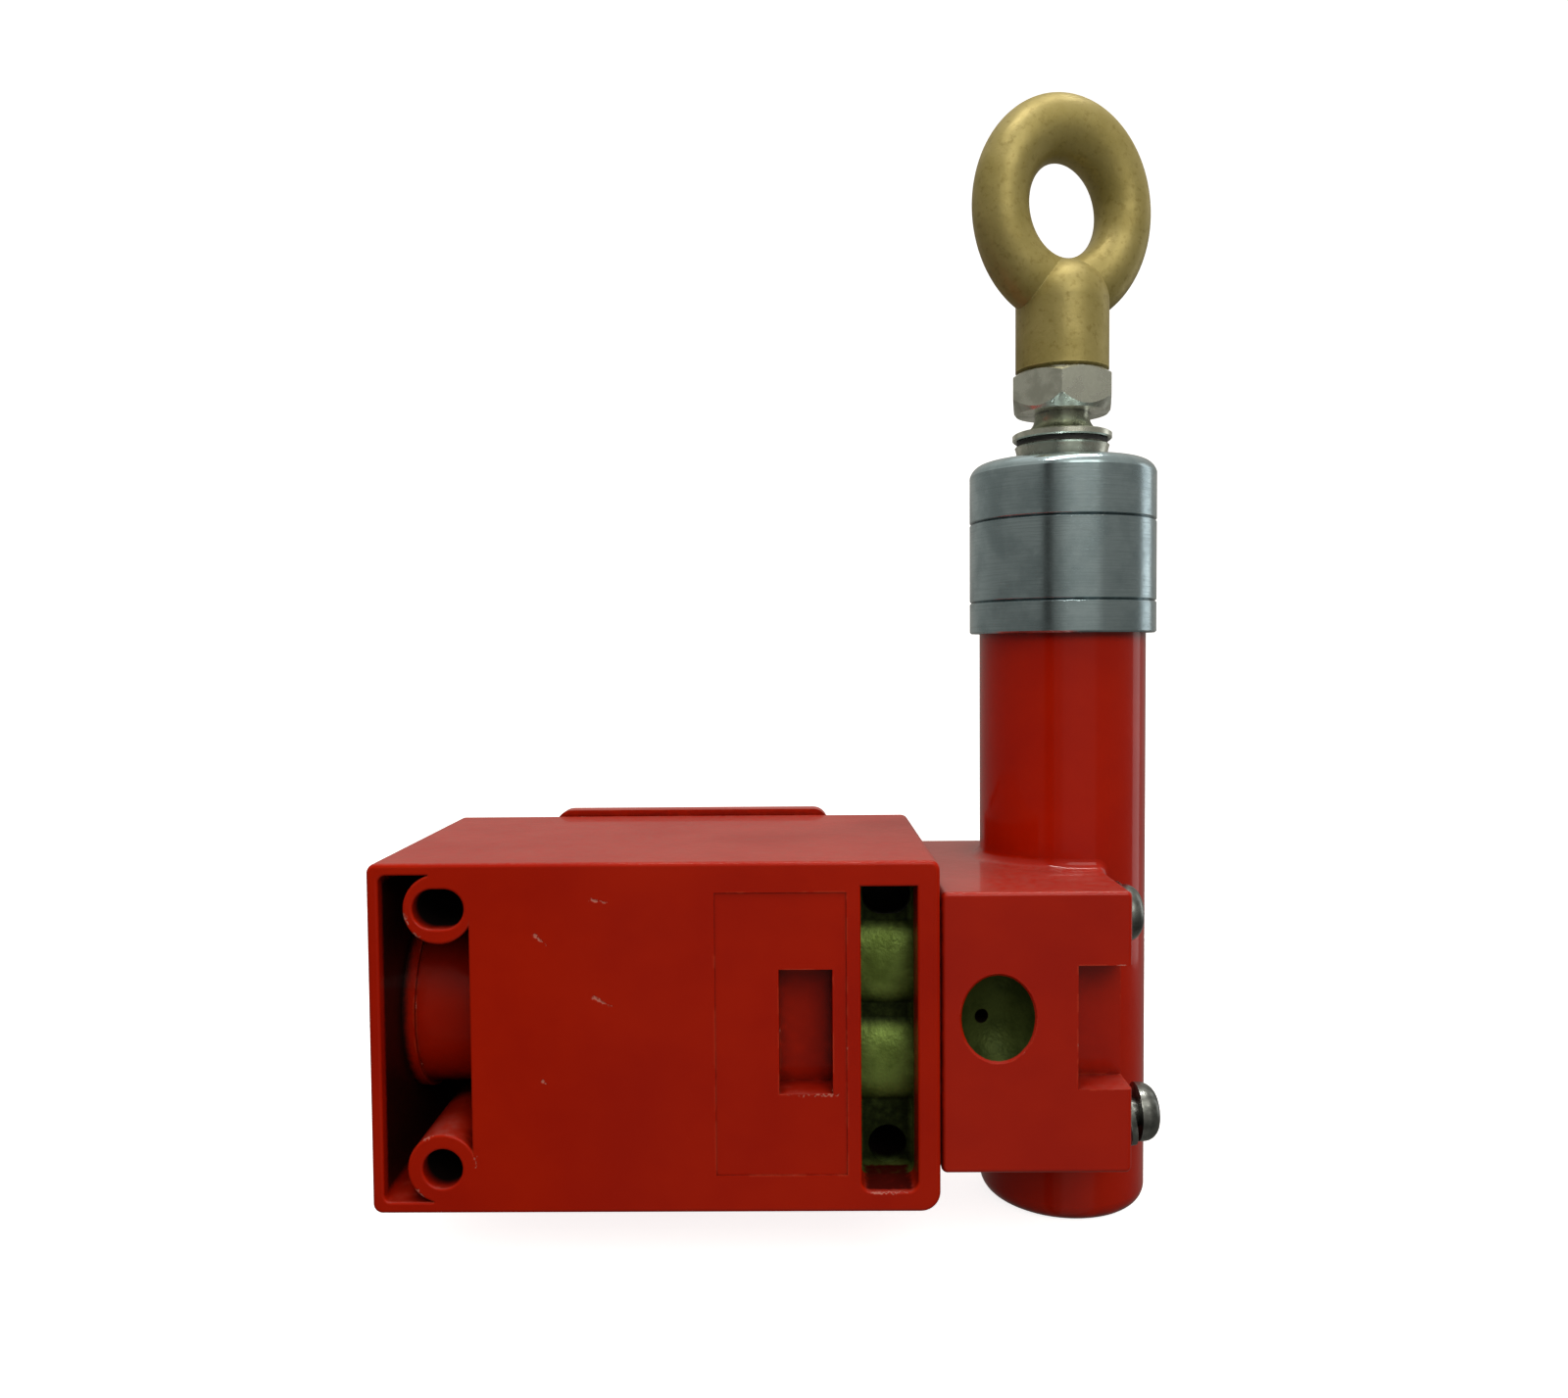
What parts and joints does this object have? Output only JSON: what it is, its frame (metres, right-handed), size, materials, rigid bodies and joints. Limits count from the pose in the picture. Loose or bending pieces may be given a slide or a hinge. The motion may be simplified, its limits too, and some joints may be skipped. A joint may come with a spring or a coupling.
{
  "type": "rope-pull switch",
  "caption": "Red die-cast limit-switch body with a vertical spring tube on its end, and a sprung pull rod with a rope eye that trips a contact block.",
  "frame": {"origin": "middle of the four fixing holes, on the rear mounting face", "axes": "+X from the conduit end to the spring tube, +Y from the mounting face to the front cover, +Z along the pull of the rope"},
  "size_m": [0.1125, 0.0485, 0.1686],
  "materials": {
    "red_casting": "gloss red enamel on zinc die-casting",
    "black_rubber": "matt",
    "zinc_steel": "bright zinc plate",
    "zinc_collar": "turned, zinc plated",
    "dark_screw": "dull, oiled",
    "spring_steel": "satin",
    "brass": "plain",
    "black_moulding": "moulded",
    "white_moulding": "moulded",
    "clear_lid": "amber moulding",
    "yellow_passivated": "satin, yellow passivated"
  },
  "bodies": {
    "housing": {"body_casting": "red_casting", "head_casting": "red_casting", "front_cover": "red_casting", "cover_gasket": "black_rubber", "cover_screws": "zinc_steel", "head_gasket": "black_rubber", "head_screws": "dark_screw", "head_screw_washers": "dark_screw", "inner_head_screws": "zinc_steel", "lock_ring": "zinc_collar", "collar_sleeve": "zinc_collar", "collar_cap": "zinc_collar", "guide_bush": "zinc_steel", "wiper_ring": "black_rubber", "return_spring": "spring_steel", "plunger_bush": "brass", "plunger_seal": "black_rubber", "contact_base": "black_moulding", "contact_lid": "clear_lid", "block_screws": "zinc_steel", "fixed_contacts": "brass", "terminal_clamps": "zinc_steel", "terminal_screws": "zinc_steel", "carrier_spring": "spring_steel", "earth_clamp": "brass", "earth_screw": "zinc_steel"},
    "pull_rod": {"pull_rod": "zinc_steel", "jam_nut": "zinc_steel", "eye_nut": "yellow_passivated", "spring_seat": "zinc_steel", "seat_clip": "spring_steel", "trip_cam": "zinc_steel", "cam_nut": "zinc_steel"},
    "plunger": {"head_plunger": "zinc_steel", "contact_carrier": "white_moulding", "contact_bridges": "brass", "bridge_springs": "spring_steel"}
  },
  "joints": [
    {"name": "rope_pull", "type": "slide", "parent": "housing", "child": "pull_rod", "axis": [0, 0, 1], "range_m": [0, 0.012], "stiffness_N_per_m": 3000, "springref_m": -0.015, "deforming": ["return_spring"]},
    {"name": "plunger_slide", "type": "slide", "parent": "housing", "child": "plunger", "axis": [-1, 0, 0], "range_m": [0, 0.003]}
  ],
  "couplings": [
    {"joint": "plunger_slide", "follows": "rope_pull", "ratio": 0.25}
  ]
}
